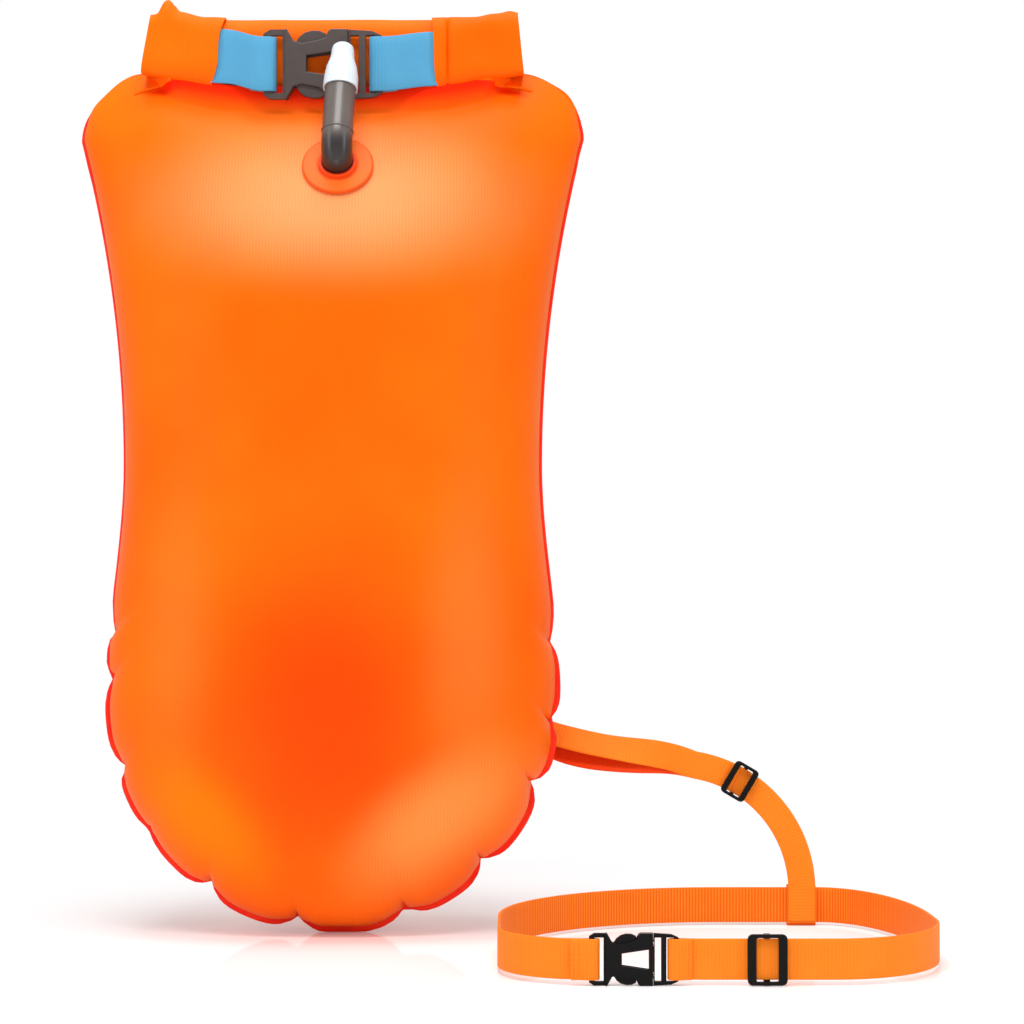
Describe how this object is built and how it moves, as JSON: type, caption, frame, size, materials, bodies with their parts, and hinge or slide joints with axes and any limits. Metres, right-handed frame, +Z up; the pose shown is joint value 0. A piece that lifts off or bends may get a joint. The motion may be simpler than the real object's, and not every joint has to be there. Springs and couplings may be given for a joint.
{
  "type": "open water swim buoy",
  "caption": "Inflated dry-bag tow float with a rolled neck and side-release closure, oral valve, leash with slider and an adjustable waist belt.",
  "frame": {"origin": "on the ground, at the flat foot of the weld rim under the bag's middle seam", "axes": "+X to the right as seen from the front, towards the leash and belt, -Y towards the viewer of the valve side, +Z up through the rolled neck"},
  "size_m": [0.4613, 0.2637, 0.5135],
  "materials": {
    "coated_fabric": "satin",
    "weld_film": "satin",
    "pocket_film": "matte",
    "blue_webbing": "matte",
    "orange_webbing": "matte",
    "grey_acetal": "satin",
    "black_acetal": "satin",
    "dark_elastomer": "gloss",
    "white_plastic": "satin",
    "steel_wire": "polished"
  },
  "bodies": {
    "bag": {"weld_rim": "weld_film", "front_panel": "coated_fabric", "back_panel": "coated_fabric", "dry_pocket": "pocket_film", "roll_neck": "coated_fabric", "mouth_stiffener": "white_plastic", "roll_end_left": "coated_fabric", "roll_end_right": "coated_fabric", "closure_buckle_female": "grey_acetal", "closure_strap_left": "blue_webbing", "valve_flange": "weld_film", "valve_tube": "dark_elastomer", "valve_spring": "steel_wire", "anchor_patch": "weld_film", "anchor_loop": "orange_webbing", "leash_ring": "steel_wire", "leash_web": "orange_webbing", "leash_return": "orange_webbing", "leash_sleeve": "orange_webbing", "belt_web": "orange_webbing", "belt_buckle_female": "black_acetal"},
    "closure_plug": {"closure_buckle_male": "grey_acetal", "closure_strap_right": "blue_webbing"},
    "closure_prong_upper": {"closure_prong_upper": "grey_acetal"},
    "closure_prong_lower": {"closure_prong_lower": "grey_acetal"},
    "belt_plug": {"belt_buckle_male": "black_acetal", "belt_front_web": "orange_webbing"},
    "belt_prong_upper": {"belt_prong_upper": "black_acetal"},
    "belt_prong_lower": {"belt_prong_lower": "black_acetal"},
    "belt_slider": {"belt_slider": "black_acetal"},
    "leash_slider": {"leash_slider": "black_acetal"},
    "valve_core": {"valve_core": "white_plastic", "valve_seal": "dark_elastomer"},
    "mouthpiece": {"mouthpiece": "white_plastic"}
  },
  "joints": [
    {"name": "closure_release", "type": "slide", "parent": "bag", "child": "closure_plug", "axis": [1, 0, 0], "range_m": [0, 0.029], "deforming": ["closure_prong_upper", "closure_prong_lower", "closure_strap_right"]},
    {"name": "closure_squeeze_upper", "type": "hinge", "parent": "closure_plug", "child": "closure_prong_upper", "pos_m": [0.0086, -0.026, 0.4926], "axis": [0, -1, 0], "range_deg": [0, 10], "stiffness_Nm_per_rad": 0.12},
    {"name": "closure_squeeze_lower", "type": "hinge", "parent": "closure_plug", "child": "closure_prong_lower", "pos_m": [0.0086, -0.026, 0.4704], "axis": [0, 1, 0], "range_deg": [0, 10], "stiffness_Nm_per_rad": 0.12},
    {"name": "belt_release", "type": "slide", "parent": "bag", "child": "belt_plug", "axis": [1, 0, 0], "range_m": [0, 0.0195], "deforming": ["belt_prong_upper", "belt_prong_lower", "belt_front_web"]},
    {"name": "belt_squeeze_upper", "type": "hinge", "parent": "belt_plug", "child": "belt_prong_upper", "pos_m": [0.1679, -0.18992, 0.02014], "axis": [0, -1, 0.0047], "range_deg": [0, 10], "stiffness_Nm_per_rad": 0.12},
    {"name": "belt_squeeze_lower", "type": "hinge", "parent": "belt_plug", "child": "belt_prong_lower", "pos_m": [0.1679, -0.18998, 0.00534], "axis": [0, 1, -0.0047], "range_deg": [0, 10], "stiffness_Nm_per_rad": 0.12},
    {"name": "belt_adjust", "type": "slide", "parent": "bag", "child": "belt_slider", "axis": [1, 0, 0], "range_m": [-0.012, 0.018]},
    {"name": "leash_adjust", "type": "hinge", "parent": "bag", "child": "leash_slider", "pos_m": [0.1934, 0.0246, 0.02], "axis": [0, 1, 0], "range_deg": [-8, 8]},
    {"name": "mouthpiece_turn", "type": "hinge", "parent": "bag", "child": "mouthpiece", "pos_m": [0.006, -0.05851, 0.42954], "axis": [0.0361, 0.342, 0.939], "range_deg": [0, 270]},
    {"name": "core_rise", "type": "slide", "parent": "mouthpiece", "child": "valve_core", "axis": [0.0361, 0.342, 0.939], "range_m": [0, 0.002], "deforming": ["valve_spring"]}
  ],
  "couplings": [
    {"joint": "mouthpiece_turn", "follows": "core_rise", "rad_per_m": 2356.2}
  ]
}
